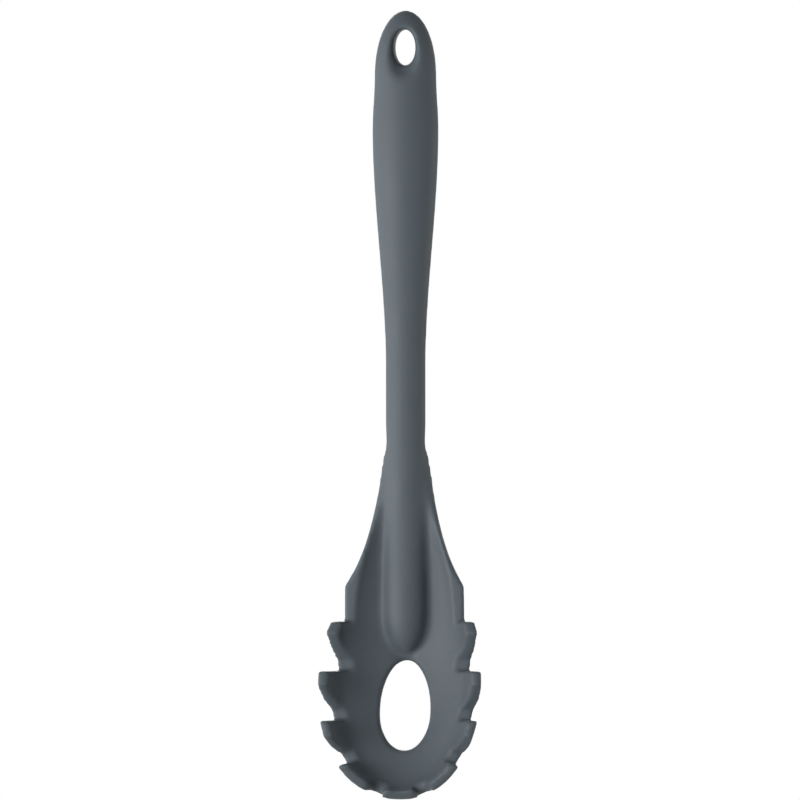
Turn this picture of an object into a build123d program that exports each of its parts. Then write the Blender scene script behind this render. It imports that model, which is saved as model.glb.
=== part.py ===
from build123d import *

import os
from math import cos, radians, sin

# One-piece silicone pasta server, in millimetres. It hangs upright: +Z runs up the handle, the bowl opens towards -Y,
# and the origin is the centre of the hanging hole, in the middle of the handle's thickness. A drop is a distance below
# the origin, and a depth is a distance in front of the handle's middle plane, towards the viewer.

# Handle
end_rise = 13.9
dome_width = 23.2
dome_drop = 10.0
grip_width = 24.9
grip_drop = 31.0
neck_width = 14.9
neck_drop = 122.0
neck_end_drop = 146.0
handle_flatness_share = 0.6

# Hanging hole and the dished recess round it
eye_hole_width = 8.4
eye_hole_height = 13.9
dish_width = 9.4
dish_height = 16.4
dish_drop = 1.0
dish_floor_depth = 4.3
dish_slope = 3.4

# Rib that carries the handle into the bowl
rib_width = 15.8
rib_wide_drop = 216.0
rib_tip_length = 14.5
root_inset = 0.6

# Bowl
bowl_width = 63.2
bowl_start_drop = 134.0
bowl_drop = 287.0
keel_depth = -5.4
rim_depth = 23.0
wall_inset = 3.0
wall_rise = 3.0
valley_drop = 13.0

# Shoulders between the neck and the first tine
shoulder_width = 45.4
shoulder_drop = 205.0
shoulder_rim_depth = 4.5
flare_width = 23.0
flare_drop = 174.0
low_flare_width = 32.0
low_flare_drop = 192.0

# Tines below the first: the place of each one's square flank, as a share of the bowl's half-width, with its drop and
# its turn, and of the gap above it the bottom's depth, the length, and the depth of the tip on its far side
flank_half_shares = (0.987, 0.937, 0.734, 0.222)
flank_drops = (237.5, 256.2, 273.3, 285.3)
flank_turns = (0.0, 0.0, 16.0, 62.0)
notch_depths = (5.2, 9.5, 12.4, 14.2)
gap_lengths = (11.2, 12.6, 11.2, 8.2)
tip_depths = (9.6, 17.6, 21.4, 22.2)
notch_length = 4.4
notch_radius = 1.6
first_flank_drop = 218.7
foot_depth = 15.5

# Drain hole
drain_width = 19.8
drain_drop = 253.0
drain_rise = 19.8
drain_fall = 14.7

# Hidden core and spine
skin = 2.4
plate_back_share = 0.33
plate_front_share = 0.67
plate_margin = 3.0
plate_lap = 24.0
spine_width = 5.0
spine_thickness = 2.0
spine_top_drop = 20.0
spine_end_gap = 4.0

# Pull of the contours' upper control points, as shares of the height and half-width
shoulder_hold_share = 0.35
crown_share = 0.45

# Cutting tools run this far past what they cut
overrun = 5.0

# Depth contours of the bowl's outside, as shares of its depth, half-width and height: depth, half-width, foot, widest
# place, top, and how full the upper half is
contour_shares = (
    (0.000, 0.065, 0.50, 0.455, 0.34, 0.60),
    (0.008, 0.145, 0.56, 0.475, 0.28, 0.60),
    (0.045, 0.290, 0.68, 0.500, 0.15, 0.60),
    (0.125, 0.480, 0.76, 0.530, 0.045, 0.60),
    (0.235, 0.665, 0.84, 0.570, 0.01, 0.60),
    (0.355, 0.800, 0.90, 0.625, 0.005, 0.65),
    (0.475, 0.875, 0.96, 0.680, 0.00, 0.80),
    (0.615, 0.935, 0.985, 0.705, 0.00, 0.95),
    (0.825, 0.985, 0.996, 0.715, 0.00, 1.05),
    (1.000, 1.000, 1.00, 0.720, 0.00, 1.10),
)


def level(depth):
    """The plane that faces the viewer at this depth, with +Z up."""
    return Plane.XZ.offset(depth)


def handle_face(inset):
    """Half of the handle's front outline, from the end of the grip to the end of the rib."""
    dome, grip, neck, rib = (width / 2 - inset for width in (dome_width, grip_width, neck_width, rib_width))
    top, tip = end_rise - inset, rib_tip_length - inset
    swell, waist = (grip_drop - dome_drop) / 3, (neck_drop - grip_drop) / 3
    outline = [
        EllipticalCenterArc((0, -dome_drop), dome, top + dome_drop, start_angle=0, arc_size=90),
        Bezier((dome, -dome_drop), (dome, -dome_drop - swell), (grip, -grip_drop + swell), (grip, -grip_drop)),
        Bezier((grip, -grip_drop), (grip, -grip_drop - waist), (neck, -neck_drop + waist), (neck, -neck_drop)),
        Polyline((neck, -neck_drop), (neck, -neck_end_drop), (rib, -rib_wide_drop)),
        EllipticalCenterArc((0, -rib_wide_drop), rib, tip, start_angle=270, arc_size=90),
        Line((0, -rib_wide_drop - tip), (0, top)),
    ]
    return make_face(outline)


def handle(inset):
    """Grip, neck and rib as one flattened turned form, set in from the surface by inset."""
    turned = revolve(Plane.XZ * handle_face(inset), Axis.Z)
    return scale(turned, by=(1, handle_flatness_share, 1))


def contour(shares, wall_share):
    """One closed depth contour of the bowl: 0 of the wall is its outside, and 1 is its inside."""
    depth_share, width_share, foot_share, wide_share, top_share, full_share = shares
    height, inset = bowl_drop - bowl_start_drop, wall_inset * wall_share
    half = (bowl_width / 2 - inset) * width_share
    foot = -bowl_start_drop - height * foot_share + inset * width_share
    wide = -bowl_start_drop - height * wide_share
    top = -bowl_start_drop - height * top_share - valley_drop * wall_share
    rise_to_top = top - wide
    right = [
        (half, wide), (half, wide + rise_to_top * shoulder_hold_share), (half * full_share, wide + rise_to_top / 2),
        (half * crown_share, top), (0, top),
    ]
    left = [(-x, z) for x, z in reversed(right)]
    lower = EllipticalCenterArc((0, wide), half, wide - foot, start_angle=180, arc_size=180)
    depth = keel_depth + depth_share * (rim_depth - keel_depth) + wall_rise * wall_share
    return level(depth) * make_face([lower, Bezier(*right), Bezier(*left)])


def hull(wall_share):
    """The bowl as a solid heap of contours."""
    return loft([contour(shares, wall_share) for shares in contour_shares])


def both(face):
    """A face of the right half together with its mirror image."""
    return face + mirror(face, about=Plane.YZ)


def shoulder_prism(inset):
    """What the front outline leaves of the bowl: flared shoulders, and below them the whole width."""
    wide, side, floor = shoulder_width / 2 - inset, bowl_width / 2 + overrun, -bowl_drop - overrun
    start = (neck_width / 2 - inset, -neck_end_drop)
    flare = Spline(
        start, (flare_width / 2 - inset, -flare_drop), (low_flare_width / 2 - inset, -low_flare_drop),
        (wide, -shoulder_drop),
    )
    edge = Polyline((wide, -shoulder_drop), (wide, -first_flank_drop), (side, -first_flank_drop), (side, floor),
                    (0, floor), (0, -neck_end_drop), start)
    face = level(keel_depth - overrun) * both(make_face([flare, edge]))
    return extrude(face, rim_depth - keel_depth + 2 * overrun)


def rim_prism():
    """What the side outline leaves of the bowl: low shoulders, then the sweep of the tines' tips."""
    tips = [(-depth, -drop) for depth, drop in zip(tip_depths, (first_flank_drop, *flank_drops))]
    foot = (-foot_depth, -bowl_drop)
    back, low, high = overrun - keel_depth, -bowl_drop - overrun, -bowl_start_drop + overrun
    rim, third = -shoulder_rim_depth, (shoulder_drop - neck_end_drop) / 3
    outline = [
        Spline(*tips, foot),
        Polyline(foot, (-foot_depth, low), (back, low), (back, high), (0, high), (0, -neck_end_drop)),
        Bezier((0, -neck_end_drop), (0, -neck_end_drop - third), (rim, third - shoulder_drop), (rim, -shoulder_drop)),
        Polyline((rim, -shoulder_drop), (rim, -first_flank_drop), tips[0]),
    ]
    return extrude(Plane.YZ * make_face(outline), bowl_width / 2 + overrun, both=True)


def notch(side, index):
    """The gap above one tine's square flank: a short bottom, then a slope up to the tip of the tine above."""
    turn, top = radians(flank_turns[index]), rim_depth + overrun
    back, half = Vector(side * sin(turn), 0, cos(turn)), bowl_width / 2 * flank_half_shares[index]
    place = Plane(origin=(side * half, 0, -flank_drops[index]), x_dir=back,
                  z_dir=back.cross(Vector(0, -1, 0)))
    low, tip, end = notch_depths[index], tip_depths[index], gap_lengths[index]
    run = (end - notch_length) / (tip - low)
    line = FilletPolyline((0, top), (0, low), (notch_length, low), (end + run * (top - tip), top),
                          radius=notch_radius)
    face = make_face([line, Line(line @ 1, line @ 0)])
    return extrude(place * face, bowl_width / 4, both=True)


def drain(inset):
    """The egg-shaped hole through the bowl's floor."""
    half = drain_width / 2 + inset
    lower = EllipticalCenterArc((0, -drain_drop), half, drain_fall + inset, start_angle=180, arc_size=180)
    upper = EllipticalCenterArc((0, -drain_drop), half, drain_rise + inset, start_angle=0, arc_size=180)
    face = level(keel_depth - overrun) * make_face([lower, upper])
    return extrude(face, rim_depth - keel_depth + overrun)


def oval(width, height, drop):
    """An upright oval in the front plane, its centre at this drop."""
    return Pos(0, -drop) * Ellipse(width / 2, height / 2)


def eye(inset):
    """The hanging hole and the dish round it on each face, grown by inset for the core."""
    grown = 2 * inset
    hole = extrude(Plane.XZ * oval(eye_hole_width + grown, eye_hole_height + grown, 0), grip_width, both=True)
    floor_depth, floor_width, floor_height = dish_floor_depth - inset, dish_width + grown, dish_height + grown
    floor = oval(floor_width, floor_height, dish_drop)
    brim = oval(floor_width + 4 * dish_slope, floor_height + 4 * dish_slope, dish_drop)
    dish = loft([level(floor_depth) * floor, level(floor_depth + 2 * dish_slope) * brim])
    return [hole, dish, mirror(dish, about=Plane.XZ)]


def stem(inset, wall_share):
    """Handle and rib, with the rib's root carried back into the bowl's wall."""
    root = extrude(level(keel_depth) * both(handle_face(inset + root_inset)), -keel_depth)
    return handle(inset) + (root & hull(wall_share))


def make_outside():
    """The whole moulding, solid all through."""
    gaps = [notch(side, index) for side in (1, -1) for index in range(len(notch_depths))]
    wall = (hull(0) & shoulder_prism(0) & rim_prism()) - hull(1) - gaps
    return stem(0, 0) + wall - [*eye(0), drain(0)]


def make_core():
    """The stiff core: the stem set in by the skin, and a thin plate in the middle of the bowl's wall."""
    front = shoulder_rim_depth - plate_margin
    thick, top = front - keel_depth, rib_wide_drop - plate_lap
    tall = bowl_drop - top
    region = Pos(0, thick / 2 - front, -top - tall / 2) * Box(bowl_width, thick, tall)
    plate = (hull(plate_back_share) - hull(plate_front_share)) & shoulder_prism(plate_margin) & region
    return stem(skin, plate_back_share) + plate - [*eye(skin), drain(plate_margin)]


outside = make_outside()
core = make_core()
spine_length = rib_wide_drop - spine_end_gap - spine_top_drop
spine = Pos(0, 0, -spine_top_drop - spine_length / 2) * Box(spine_width, spine_thickness, spine_length)

nodes = {
    "silicone_body": outside - core,
    "nylon_core": core - spine,
    "steel_spine": spine,
}

os.makedirs("parts", exist_ok=True)
for name, solid in nodes.items():
    export_step(solid, f"parts/{name}.step")
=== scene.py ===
"""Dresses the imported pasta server: one seamless moulding of matt grey silicone over its hidden core."""

import logging
import math
from collections.abc import Iterable
from dataclasses import dataclass, field
from enum import Enum

import bmesh
import bpy
import numpy as np
from mathutils import Matrix, Vector
from mathutils.bvhtree import BVHTree

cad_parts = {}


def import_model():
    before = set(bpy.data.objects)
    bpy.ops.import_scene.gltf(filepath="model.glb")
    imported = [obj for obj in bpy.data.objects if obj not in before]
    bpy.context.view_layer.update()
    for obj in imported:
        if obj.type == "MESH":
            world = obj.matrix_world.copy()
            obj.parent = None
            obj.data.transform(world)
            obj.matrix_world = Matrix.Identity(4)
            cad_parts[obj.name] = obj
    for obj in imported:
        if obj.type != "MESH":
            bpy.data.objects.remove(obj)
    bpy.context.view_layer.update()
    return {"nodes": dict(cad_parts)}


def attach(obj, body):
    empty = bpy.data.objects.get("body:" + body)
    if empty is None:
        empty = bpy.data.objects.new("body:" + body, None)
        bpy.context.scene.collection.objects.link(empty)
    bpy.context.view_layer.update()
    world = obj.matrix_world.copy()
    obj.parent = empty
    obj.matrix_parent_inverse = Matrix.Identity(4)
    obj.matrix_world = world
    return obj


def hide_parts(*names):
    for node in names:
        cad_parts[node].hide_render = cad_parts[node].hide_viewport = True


LOG = logging.getLogger("pasta_server")
ROOT_BODY = "root"
MM = 0.001
WHITE = (1.0, 1.0, 1.0, 1.0)


class Socket(Enum):
    """Names of the shader sockets that the finishes set."""

    COLOUR = "Base Color"
    ROUGHNESS = "Roughness"
    METALLIC = "Metallic"
    NORMAL = "Normal"
    SPECULAR = "Specular IOR Level"
    SHEEN = "Sheen Weight"
    SHEEN_ROUGHNESS = "Sheen Roughness"


class Face(Enum):
    """The faces of the moulding that a soft ring works on."""

    FRONT = "front"
    BACK = "back"
    BOTH = "both"


def new_node(tree: bpy.types.NodeTree, kind: str, **settings: object) -> bpy.types.Node:
    """Adds a shader node and sets its own properties.

    Args:
        tree: The node tree that gets the node.
        kind: The node's Blender type name.
        **settings: Property values to set on the node.

    Returns:
        The new node.
    """
    node = tree.nodes.new(kind)
    for name, value in settings.items():
        setattr(node, name, value)
    return node


@dataclass(frozen=True)
class Finish:
    """A procedural surface: two close tones, a roughness that wanders, and a fine grain in the normals.

    Attributes:
        name: The material's name.
        tone: Linear colour where the broad noise is low.
        tone_worn: Linear colour where it is high.
        roughness_low: Roughness where the broad noise is low.
        roughness_high: Roughness where it is high.
        cloud_scale: How fine the broad noise is.
        grain_scale: How fine the grain is.
        grain_depth: Height of the grain in metres.
        grain_stretch: The grain's scale along each axis.
        metallic: Share of metal.
        specular: Strength of the reflection.
        sheen: Strength of the soft bloom at grazing angles.
        sheen_roughness: How wide that bloom is.
        cloud_detail: Octaves of the broad noise.
        cloud_roughness: Strength of its fine octaves.
        cloud_span: Its values between which tone and roughness change.
        grain_detail: Octaves of the grain.
    """

    name: str
    tone: tuple[float, float, float]
    tone_worn: tuple[float, float, float]
    roughness_low: float
    roughness_high: float
    cloud_scale: float
    grain_scale: float
    grain_depth: float
    grain_stretch: tuple[float, float, float] = (1.0, 1.0, 1.0)
    metallic: float = 0.0
    specular: float = 0.5
    sheen: float = 0.0
    sheen_roughness: float = 0.5
    cloud_detail: float = 4.0
    cloud_roughness: float = 0.55
    cloud_span: tuple[float, float] = (0.3, 0.7)
    grain_detail: float = 3.0

    def build(self) -> bpy.types.Material:
        """Makes the material's node tree.

        Returns:
            The finished material.
        """
        material = bpy.data.materials.new(self.name)
        material.use_nodes = True
        tree = material.node_tree
        tree.nodes.clear()
        output = new_node(tree, "ShaderNodeOutputMaterial")
        shader = new_node(tree, "ShaderNodeBsdfPrincipled")
        place = new_node(tree, "ShaderNodeTexCoord")
        cloud = new_node(tree, "ShaderNodeTexNoise")
        cloud.inputs["Scale"].default_value = self.cloud_scale
        cloud.inputs["Detail"].default_value = self.cloud_detail
        cloud.inputs["Roughness"].default_value = self.cloud_roughness
        self._colour(tree, cloud, shader)
        self._roughness(tree, cloud, shader)
        self._grain(tree, place, shader)
        shader.inputs[Socket.METALLIC.value].default_value = self.metallic
        shader.inputs[Socket.SPECULAR.value].default_value = self.specular
        shader.inputs[Socket.SHEEN.value].default_value = self.sheen
        shader.inputs[Socket.SHEEN_ROUGHNESS.value].default_value = self.sheen_roughness
        tree.links.new(place.outputs["Object"], cloud.inputs["Vector"])
        tree.links.new(shader.outputs["BSDF"], output.inputs["Surface"])
        return material

    def _colour(self, tree: bpy.types.NodeTree, cloud: bpy.types.Node, shader: bpy.types.Node) -> None:
        """Lets the tone drift between its two values.

        Args:
            tree: The material's node tree.
            cloud: The broad noise.
            shader: The surface shader.
        """
        ramp = new_node(tree, "ShaderNodeValToRGB")
        for stop, position, tone in zip(ramp.color_ramp.elements, self.cloud_span, (self.tone, self.tone_worn)):
            stop.position = position
            stop.color = (*tone, 1.0)
        tree.links.new(cloud.outputs["Fac"], ramp.inputs["Fac"])
        tree.links.new(ramp.outputs["Color"], shader.inputs[Socket.COLOUR.value])

    def _roughness(self, tree: bpy.types.NodeTree, cloud: bpy.types.Node, shader: bpy.types.Node) -> None:
        """Lets the roughness drift between its two values.

        Args:
            tree: The material's node tree.
            cloud: The broad noise.
            shader: The surface shader.
        """
        span = new_node(tree, "ShaderNodeMapRange")
        span.inputs["From Min"].default_value, span.inputs["From Max"].default_value = self.cloud_span
        span.inputs["To Min"].default_value = self.roughness_low
        span.inputs["To Max"].default_value = self.roughness_high
        tree.links.new(cloud.outputs["Fac"], span.inputs["Value"])
        tree.links.new(span.outputs["Result"], shader.inputs[Socket.ROUGHNESS.value])

    def _grain(self, tree: bpy.types.NodeTree, place: bpy.types.Node, shader: bpy.types.Node) -> None:
        """Adds the fine grain that the mould or the mill leaves.

        Args:
            tree: The material's node tree.
            place: The texture coordinates.
            shader: The surface shader.
        """
        mapping = new_node(tree, "ShaderNodeMapping")
        mapping.inputs["Scale"].default_value = self.grain_stretch
        grain = new_node(tree, "ShaderNodeTexNoise")
        grain.inputs["Scale"].default_value = self.grain_scale
        grain.inputs["Detail"].default_value = self.grain_detail
        bump = new_node(tree, "ShaderNodeBump")
        bump.inputs["Strength"].default_value = 1.0
        bump.inputs["Distance"].default_value = self.grain_depth
        tree.links.new(place.outputs["Object"], mapping.inputs["Vector"])
        tree.links.new(mapping.outputs["Vector"], grain.inputs["Vector"])
        tree.links.new(grain.outputs["Fac"], bump.inputs["Height"])
        tree.links.new(bump.outputs["Normal"], shader.inputs[Socket.NORMAL.value])


SILICONE_FINISH = Finish(
    name="matt_slate_silicone",
    tone=(0.105, 0.129, 0.147),
    tone_worn=(0.118, 0.143, 0.162),
    roughness_low=0.50,
    roughness_high=0.58,
    cloud_scale=45.0,
    grain_scale=1900.0,
    grain_depth=0.000012,
    specular=0.38,
    sheen=0.05,
    sheen_roughness=0.4,
)
NYLON_FINISH = Finish(
    name="glass_filled_nylon",
    tone=(0.008, 0.008, 0.009),
    tone_worn=(0.013, 0.013, 0.014),
    roughness_low=0.42,
    roughness_high=0.55,
    cloud_scale=90.0,
    grain_scale=1400.0,
    grain_depth=0.00002,
    grain_stretch=(1.0, 1.0, 0.12),
)
STEEL_FINISH = Finish(
    name="brushed_flat_bar",
    tone=(0.36, 0.36, 0.37),
    tone_worn=(0.42, 0.42, 0.43),
    roughness_low=0.28,
    roughness_high=0.38,
    cloud_scale=60.0,
    grain_scale=3200.0,
    grain_depth=0.00001,
    grain_stretch=(1.0, 1.0, 0.03),
    metallic=1.0,
)


@dataclass(frozen=True)
class SoftRing:
    """A line round an upright oval or a rib's end, across which the moulding flows instead of breaking.

    Attributes:
        half: Half of the line's width.
        cap: Height of its rounded ends.
        straight_top: Height at which its straight sides end above.
        straight_foot: Height at which they end below.
        reach: How far from the line it still works.
        passes: How often its points are evened out.
        fade_top: Heights between which it sets in from above.
        fade_foot: Heights between which it sets in from below.
        face: The faces that it works on.
        pull: How far one pass draws a point to the middle of its neighbours, as a share of the way.
        back_limit: How far a normal turns to the back before its face counts as the back.
    """

    half: float
    cap: float
    straight_top: float
    straight_foot: float
    reach: float
    passes: int
    fade_top: tuple[float, float]
    fade_foot: tuple[float, float]
    face: Face = Face.FRONT
    pull: float = 0.5
    back_limit: float = 0.6

    def weights(self, points: np.ndarray, normals: np.ndarray) -> np.ndarray:
        """Works out how strongly each point is drawn to the middle of its neighbours.

        Args:
            points: The places of the points, one row each.
            normals: Their normals, one row each.

        Returns:
            One weight for each point, 0 away from the ring.
        """
        side, level = np.abs(points[:, 0]), points[:, 2]
        past = np.clip(self.straight_foot - level, 0.0, None) + np.clip(level - self.straight_top, 0.0, None)
        away = (np.hypot(side / self.half, past / self.cap) - 1.0) * self.half
        fades = self._rise(level, *self.fade_top) * self._rise(level, *self.fade_foot)
        behind = normals[:, 1] > self.back_limit
        shown = {Face.FRONT: ~behind, Face.BACK: behind, Face.BOTH: 1.0}[self.face]
        return self.pull * np.exp(-((away / self.reach) ** 2)) * fades * shown

    @staticmethod
    def _rise(values: np.ndarray, start: float, end: float) -> np.ndarray:
        """Goes smoothly from 0 at the start to 1 at the end."""
        share = np.clip((values - start) / (end - start), 0.0, 1.0)
        return share * share * (3.0 - 2.0 * share)


RIB_ROOT = SoftRing(
    half=7.9 * MM, cap=14.5 * MM, straight_top=0.0, straight_foot=-216 * MM, reach=4.0 * MM, passes=90,
    fade_top=(-142 * MM, -160 * MM), fade_foot=(-234 * MM, -228 * MM),
)
DISH_BRIM = SoftRing(
    half=7.2 * MM, cap=11.0 * MM, straight_top=-1.0 * MM, straight_foot=-1.0 * MM, reach=2.6 * MM, passes=40,
    fade_top=(2 * MM, -8 * MM), fade_foot=(-24 * MM, -18 * MM), face=Face.BOTH,
)
HOLE_EDGE = SoftRing(
    half=4.2 * MM, cap=6.95 * MM, straight_top=0.0, straight_foot=0.0, reach=1.2 * MM, passes=16,
    fade_top=(12 * MM, 9 * MM), fade_foot=(-12 * MM, -9 * MM), face=Face.BOTH,
)
DRAIN_EDGE = SoftRing(
    half=9.9 * MM, cap=17.25 * MM, straight_top=-250.45 * MM, straight_foot=-250.45 * MM, reach=1.8 * MM, passes=14,
    fade_top=(-226 * MM, -230 * MM), fade_foot=(-275 * MM, -271 * MM), face=Face.BOTH,
)
KEEL = SoftRing(
    half=2.0 * MM, cap=2.0 * MM, straight_top=-160 * MM, straight_foot=-224 * MM, reach=8.0 * MM, passes=200,
    fade_top=(-140 * MM, -158 * MM), fade_foot=(-231 * MM, -221 * MM), face=Face.BACK,
)


@dataclass(frozen=True)
class Web:
    """The edges of a mesh, along which its points even out.

    Attributes:
        near: The first point of each edge.
        far: Its second point.
        links: For each point, how many edges it has in the whole mesh.
    """

    near: np.ndarray
    far: np.ndarray
    links: np.ndarray

    @classmethod
    def of(cls, mesh: bpy.types.Mesh) -> "Web":
        """Reads the edges of a mesh.

        Args:
            mesh: The mesh.

        Returns:
            Its web.
        """
        edges = np.empty(len(mesh.edges) * 2, dtype=np.int32)
        mesh.edges.foreach_get("vertices", edges)
        return cls(edges[0::2], edges[1::2], np.bincount(edges, minlength=len(mesh.vertices))[:, None])

    def round_points(self, chosen: np.ndarray) -> "Web":
        """Keeps the edges that touch a chosen point.

        Args:
            chosen: For each point, whether it is chosen.

        Returns:
            A smaller web.
        """
        kept = chosen[self.near] | chosen[self.far]
        return Web(self.near[kept], self.far[kept], self.links)

    def slack(self, points: np.ndarray) -> np.ndarray:
        """Works out the way from each point to the middle of its neighbours.

        Args:
            points: The places of the points, one row each.

        Returns:
            One row for each point.
        """
        sums = [
            np.bincount(self.near, points[self.far, axis], len(points))
            + np.bincount(self.far, points[self.near, axis], len(points))
            for axis in range(3)
        ]
        return np.stack(sums, axis=1) / self.links - points


@dataclass
class SiliconeBody:
    """The visible moulding, with the soft edges and the blended rib that the square-edged solid lacks.

    Attributes:
        node: The solid that it stands for.
        voxel: Size of the even faces.
        merge_distance: Points closer than this are one.
        edge_passes: How often all points are evened out to round the edges.
        edge_pull: How far one such pass draws a point, as a share of the way.
        settle_pull: How far each pass against the remesh's steps draws a point.
        settle_push: How far the pass after it sends the point back.
        settle_passes: How many pairs of those passes there are.
        faint_weight: A ring's weight up to this counts as none.
        swell: How far the skin is moved out, for what the rounding took off.
        hole_swell: The same at the hanging hole's edge.
        rings: Where the form is eased further, in this order.
    """

    node: bpy.types.Object
    voxel: float = 0.55 * MM
    merge_distance: float = 0.001 * MM
    edge_passes: int = 5
    edge_pull: float = 0.5
    settle_pull: float = 0.6
    settle_push: float = 0.62
    settle_passes: int = 70
    faint_weight: float = 0.002
    swell: float = 0.17 * MM
    hole_swell: float = 0.0
    rings: tuple[SoftRing, ...] = (RIB_ROOT, DISH_BRIM, HOLE_EDGE, DRAIN_EDGE, KEEL)

    def build(self) -> bpy.types.Object:
        """Makes the moulding from its outer skin.

        Returns:
            The finished piece.
        """
        piece = self._outer_skin()
        self._remesh(piece)
        self._soften(piece)
        piece.data.shade_smooth()
        piece.data.materials.append(SILICONE_FINISH.build())
        return piece

    def _outer_skin(self) -> bpy.types.Object:
        """Copies the solid's outside, without the wall of the space that holds the core.

        Returns:
            A new object with the closed outer skin.
        """
        shape = bmesh.new()
        shape.from_mesh(self.node.data)
        bmesh.ops.remove_doubles(shape, verts=shape.verts, dist=self.merge_distance)
        islands = sorted(self._islands(shape), key=self._height)
        hidden = [vert for island in islands[:-1] for vert in island]
        bmesh.ops.delete(shape, geom=hidden, context="VERTS")
        bmesh.ops.recalc_face_normals(shape, faces=shape.faces)
        mesh = bpy.data.meshes.new("silicone_moulding")
        shape.to_mesh(mesh)
        shape.free()
        piece = bpy.data.objects.new("silicone_moulding", mesh)
        bpy.context.scene.collection.objects.link(piece)
        return piece

    @staticmethod
    def _islands(shape: bmesh.types.BMesh) -> Iterable[list[bmesh.types.BMVert]]:
        """Yields the separate closed skins of a mesh.

        Args:
            shape: The merged mesh.

        Returns:
            One list of points for each skin.
        """
        waiting = set(shape.verts)
        while waiting:
            island = [waiting.pop()]
            for vert in island:
                for edge in vert.link_edges:
                    other = edge.other_vert(vert)
                    if other in waiting:
                        waiting.remove(other)
                        island.append(other)
            yield island

    @staticmethod
    def _height(island: list[bmesh.types.BMVert]) -> float:
        """Measures how tall a skin is."""
        heights = [vert.co.z for vert in island]
        return max(heights) - min(heights)

    def _remesh(self, piece: bpy.types.Object) -> None:
        """Covers the piece in even small faces that lie on the solid's own skin.

        Args:
            piece: The object to remesh in place.
        """
        modifier = piece.modifiers.new("even_skin", "REMESH")
        modifier.mode = "VOXEL"
        modifier.voxel_size = self.voxel
        graph = bpy.context.evaluated_depsgraph_get()
        mesh = bpy.data.meshes.new_from_object(piece.evaluated_get(graph))
        old = piece.data
        skin = BVHTree.FromPolygons([vert.co for vert in old.vertices], [face.vertices for face in old.polygons])
        piece.modifiers.clear()
        piece.data = mesh
        bpy.data.meshes.remove(old)
        for vert in mesh.vertices:
            vert.co = skin.find_nearest(vert.co)[0]

    def _soften(self, piece: bpy.types.Object) -> None:
        """Rounds every edge as a silicone mould does, and lets the rib flow into the walls.

        Args:
            piece: The object to soften in place.
        """
        shape = bmesh.new()
        shape.from_mesh(piece.data)
        for _ in range(self.edge_passes):
            bmesh.ops.smooth_vert(
                shape, verts=shape.verts, factor=self.edge_pull, use_axis_x=True, use_axis_y=True, use_axis_z=True
            )
        shape.to_mesh(piece.data)
        shape.free()
        web = Web.of(piece.data)
        self._settle(piece, web)
        for ring in self.rings:
            self._flow(piece, web, ring)
        points, normals = self._table(piece, "co"), self._table(piece, "normal")
        near_hole = HOLE_EDGE.weights(points, normals)[:, None] / HOLE_EDGE.pull
        points += normals * (self.swell + near_hole * (self.hole_swell - self.swell))
        self._move(piece, points)

    def _settle(self, piece: bpy.types.Object, web: Web) -> None:
        """Takes out the small steps that the remesh leaves along the edges, and keeps the size.

        Args:
            piece: The object to change in place.
            web: Its edges.
        """
        points = self._table(piece, "co")
        for pull in (self.settle_pull, -self.settle_push) * self.settle_passes:
            points += pull * web.slack(points)
        self._move(piece, points)

    def _flow(self, piece: bpy.types.Object, web: Web, ring: SoftRing) -> None:
        """Evens out the form along one ring.

        Args:
            piece: The object to change in place.
            web: Its edges.
            ring: The ring.
        """
        points = self._table(piece, "co")
        weights = ring.weights(points, self._table(piece, "normal"))
        chosen = weights > self.faint_weight
        near_web, weights = web.round_points(chosen), np.where(chosen, weights, 0.0)[:, None]
        for _ in range(ring.passes):
            points += weights * near_web.slack(points)
        self._move(piece, points)

    @staticmethod
    def _move(piece: bpy.types.Object, points: np.ndarray) -> None:
        """Puts every point of a piece in its new place."""
        piece.data.vertices.foreach_set("co", points.ravel())
        piece.data.update()

    @staticmethod
    def _table(piece: bpy.types.Object, name: str) -> np.ndarray:
        """Reads one vector of every point of a piece.

        Args:
            piece: The object to read.
            name: The vector's name.

        Returns:
            One row for each point.
        """
        values = np.empty(len(piece.data.vertices) * 3, dtype=np.float32)
        piece.data.vertices.foreach_get(name, values)
        return values.reshape(-1, 3).astype(np.float64)


@dataclass(frozen=True)
class HiddenPiece:
    """A stiffening piece inside the moulding, which keeps its solid and gets its own finish."""

    node: bpy.types.Object
    finish: Finish

    def dress(self) -> None:
        """Puts the finish on the piece."""
        self.node.data.materials.clear()
        self.node.data.materials.append(self.finish.build())


@dataclass(frozen=True)
class Lamp:
    """A soft square lamp, aimed at the middle of the object.

    Attributes:
        name: Its name.
        azimuth: Degrees round from the front, towards +X.
        elevation: Degrees above the horizon.
        watts: Its power.
        distance: How far from the middle it hangs.
        side: Length of its sides.
    """

    name: str
    azimuth: float
    elevation: float
    watts: float
    distance: float = 1.4
    side: float = 0.6

    def place(self, target: Vector) -> None:
        """Hangs the lamp.

        Args:
            target: The point that it lights.
        """
        data = bpy.data.lights.new(self.name, "AREA")
        data.shape = "SQUARE"
        data.size = self.side
        data.energy = self.watts
        lamp = bpy.data.objects.new(self.name, data)
        lamp.matrix_world = aimed(target, self.azimuth, self.elevation, self.distance)
        bpy.context.scene.collection.objects.link(lamp)


def aimed(target: Vector, azimuth: float, elevation: float, distance: float) -> Matrix:
    """Works out a place on a sphere round a point, looking at that point.

    Args:
        target: The point in the middle.
        azimuth: Degrees round from the front, towards +X.
        elevation: Degrees above the horizon.
        distance: How far away.

    Returns:
        The world matrix of a camera or a lamp there.
    """
    turn, lift = math.radians(azimuth), math.radians(elevation)
    away = Vector((math.sin(turn) * math.cos(lift), -math.cos(turn) * math.cos(lift), math.sin(lift)))
    return Matrix.Translation(target + away * distance) @ away.to_track_quat("Z", "Y").to_matrix().to_4x4()


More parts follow.
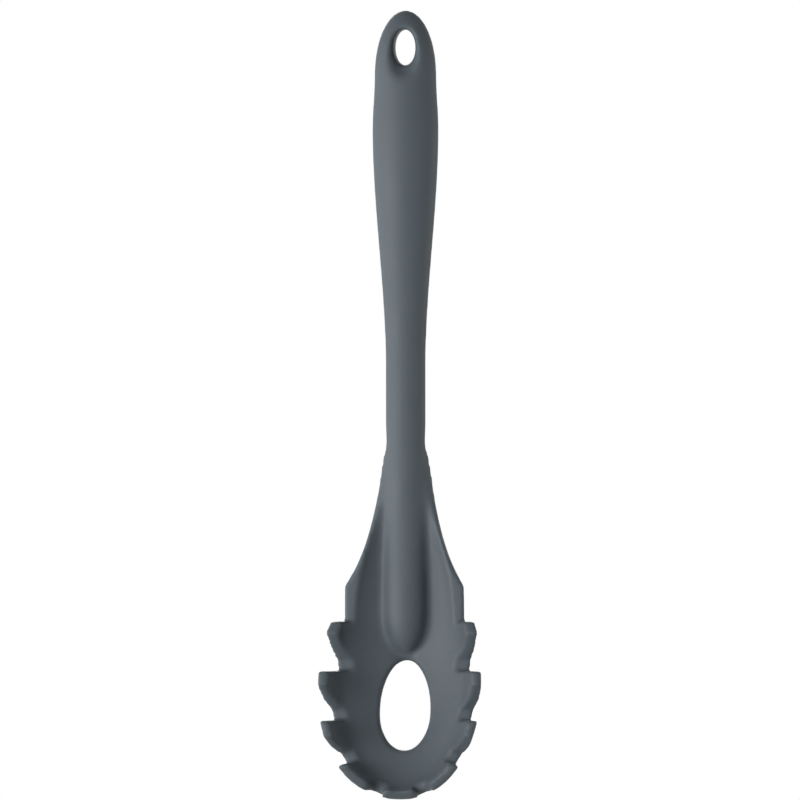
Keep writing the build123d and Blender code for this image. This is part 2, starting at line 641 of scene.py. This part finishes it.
@dataclass(frozen=True)
class Studio:
    """A pale floor, soft lamps, a white surround, and the photograph's camera.

    Attributes:
        middle: The point that the camera and the lamps look at.
        view_azimuth: Degrees that the camera stands round from the front, towards +X.
        view_roll: Degrees that it leans.
        lens: Its focal length in millimetres.
        sensor: Its sensor's width in millimetres.
        view_range: How far it sees.
        frame_side: Side of the square that the picture shows at the middle.
        side_shift: Pixels that the picture is moved to the right.
        frame_pixels: The picture's width in pixels.
        floor_level: Height of the floor.
        floor_radius: Radius of the floor, where it has faded to white.
        floor_plain_radius: Radius within which it isn't faded.
        floor_corners: How many corners its rim has.
        floor_tone: Its grey.
        floor_glow: Share of its plain part that is white to the eye.
        ambient: Strength of the surround's light on the object.
        lamps: The lamps.
    """

    middle: Vector = field(default_factory=lambda: Vector((0.0, 0.0, -134.2 * MM)))
    view_azimuth: float = 8.0
    view_roll: float = -0.04
    lens: float = 800.0
    sensor: float = 36.0
    view_range: float = 20.0
    frame_side: float = 304.56 * MM
    side_shift: float = 5.7
    frame_pixels: float = 800.0
    floor_level: float = -360 * MM
    floor_radius: float = 0.7
    floor_plain_radius: float = 0.08
    floor_corners: int = 96
    floor_tone: float = 0.82
    floor_glow: float = 0.72
    ambient: float = 0.01
    lamps: tuple[Lamp, ...] = (
        Lamp("key_left", -36.0, -4.0, 9.3),
        Lamp("key_side", -62.0, -4.0, 5.4),
        Lamp("edge_left", -95.0, 0.0, 3.2),
        Lamp("fill_front", 10.0, 8.0, 0.9),
        Lamp("edge_right", 96.0, 0.0, 3.6),
        Lamp("fill_back", 200.0, 25.0, 7.5),
    )

    def build(self) -> None:
        """Sets the whole stage."""
        self._camera()
        self._floor()
        self._surround()
        for lamp in self.lamps:
            lamp.place(self.middle)
        bpy.context.scene.view_settings.view_transform = "Standard"

    def _camera(self) -> None:
        """Puts the camera where the photograph was taken from, with a long lens."""
        data = bpy.data.cameras.new("photograph")
        data.lens = self.lens
        data.sensor_width = self.sensor
        data.clip_end = self.view_range
        data.shift_x = -self.side_shift / self.frame_pixels
        camera = bpy.data.objects.new("photograph", data)
        distance = self.frame_side * self.lens / self.sensor
        roll = Matrix.Rotation(math.radians(self.view_roll), 4, "Z")
        camera.matrix_world = aimed(self.middle, self.view_azimuth, 0.0, distance) @ roll
        bpy.context.scene.collection.objects.link(camera)
        bpy.context.scene.camera = camera

    def _floor(self) -> None:
        """Lays the round pale floor below the hanging piece."""
        shape = bmesh.new()
        bmesh.ops.create_circle(shape, cap_ends=True, radius=self.floor_radius, segments=self.floor_corners)
        bmesh.ops.translate(shape, verts=shape.verts, vec=(0.0, 0.0, self.floor_level))
        mesh = bpy.data.meshes.new("floor")
        shape.to_mesh(mesh)
        shape.free()
        floor = bpy.data.objects.new("floor", mesh)
        bpy.context.scene.collection.objects.link(floor)
        floor.data.materials.append(self._floor_finish())

    def _floor_finish(self) -> bpy.types.Material:
        """Makes the floor pale to the eye, with the object's shadow on it, and fades it into the white surround.

        Returns:
            The floor's material.
        """
        material = bpy.data.materials.new("pale_floor")
        material.use_nodes = True
        tree = material.node_tree
        tree.nodes.clear()
        output = new_node(tree, "ShaderNodeOutputMaterial")
        matt = new_node(tree, "ShaderNodeBsdfDiffuse")
        matt.inputs["Color"].default_value = (self.floor_tone, self.floor_tone, self.floor_tone, 1.0)
        glow = new_node(tree, "ShaderNodeEmission")
        mix = new_node(tree, "ShaderNodeMixShader")
        place = new_node(tree, "ShaderNodeTexCoord")
        away = new_node(tree, "ShaderNodeVectorMath", operation="LENGTH")
        level = new_node(tree, "ShaderNodeVectorMath", operation="MULTIPLY")
        level.inputs[1].default_value = (1.0, 1.0, 0.0)
        fade = new_node(tree, "ShaderNodeMapRange", interpolation_type="SMOOTHSTEP")
        fade.inputs["From Min"].default_value = self.floor_plain_radius
        fade.inputs["From Max"].default_value = self.floor_radius
        fade.inputs["To Min"].default_value = self.floor_glow
        fade.inputs["To Max"].default_value = 1.0
        share = new_node(tree, "ShaderNodeMath", operation="MULTIPLY")
        tree.links.new(place.outputs["Object"], level.inputs[0])
        tree.links.new(level.outputs["Vector"], away.inputs[0])
        tree.links.new(away.outputs["Value"], fade.inputs["Value"])
        tree.links.new(fade.outputs["Result"], share.inputs[1])
        tree.links.new(self._seen(tree), share.inputs[0])
        tree.links.new(share.outputs["Value"], mix.inputs["Fac"])
        tree.links.new(matt.outputs["BSDF"], mix.inputs[1])
        tree.links.new(glow.outputs["Emission"], mix.inputs[2])
        tree.links.new(mix.outputs["Shader"], output.inputs["Surface"])
        return material

    def _surround(self) -> None:
        """Makes the world white where it is seen, and a plain soft light elsewhere."""
        world = bpy.data.worlds.new("white_surround")
        world.use_nodes = True
        bpy.context.scene.world = world
        tree = world.node_tree
        tree.nodes.clear()
        output = new_node(tree, "ShaderNodeOutputWorld")
        light = new_node(tree, "ShaderNodeBackground")
        light.inputs["Color"].default_value = WHITE
        light.inputs["Strength"].default_value = self.ambient
        white = new_node(tree, "ShaderNodeBackground")
        white.inputs["Color"].default_value = WHITE
        mix = new_node(tree, "ShaderNodeMixShader")
        tree.links.new(self._seen(tree), mix.inputs["Fac"])
        tree.links.new(light.outputs["Background"], mix.inputs[1])
        tree.links.new(white.outputs["Background"], mix.inputs[2])
        tree.links.new(mix.outputs["Shader"], output.inputs["Surface"])

    @staticmethod
    def _seen(tree: bpy.types.NodeTree) -> bpy.types.NodeSocket:
        """Tells what is seen by the camera, in a reflection or through glass.

        Args:
            tree: The node tree that asks.

        Returns:
            A socket that is 1 where it is seen.
        """
        path = new_node(tree, "ShaderNodeLightPath")
        first = new_node(tree, "ShaderNodeMath", operation="MAXIMUM")
        second = new_node(tree, "ShaderNodeMath", operation="MAXIMUM")
        tree.links.new(path.outputs["Is Camera Ray"], first.inputs[0])
        tree.links.new(path.outputs["Is Glossy Ray"], first.inputs[1])
        tree.links.new(first.outputs["Value"], second.inputs[0])
        tree.links.new(path.outputs["Is Transmission Ray"], second.inputs[1])
        return second.outputs["Value"]


def main() -> None:
    """Loads the frame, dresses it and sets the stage."""
    logging.basicConfig(level=logging.INFO, format="%(name)s: %(message)s")
    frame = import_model()
    nodes = frame["nodes"]

    moulding = SiliconeBody(nodes["silicone_body"]).build()
    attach(moulding, ROOT_BODY)
    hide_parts("silicone_body")
    LOG.info("silicone moulding: %d faces", len(moulding.data.polygons))

    for name, finish in (("nylon_core", NYLON_FINISH), ("steel_spine", STEEL_FINISH)):
        HiddenPiece(nodes[name], finish).dress()
        LOG.info("%s dressed", name)

    Studio().build()
    LOG.info("studio set")


if __name__ == "__main__":
    main()
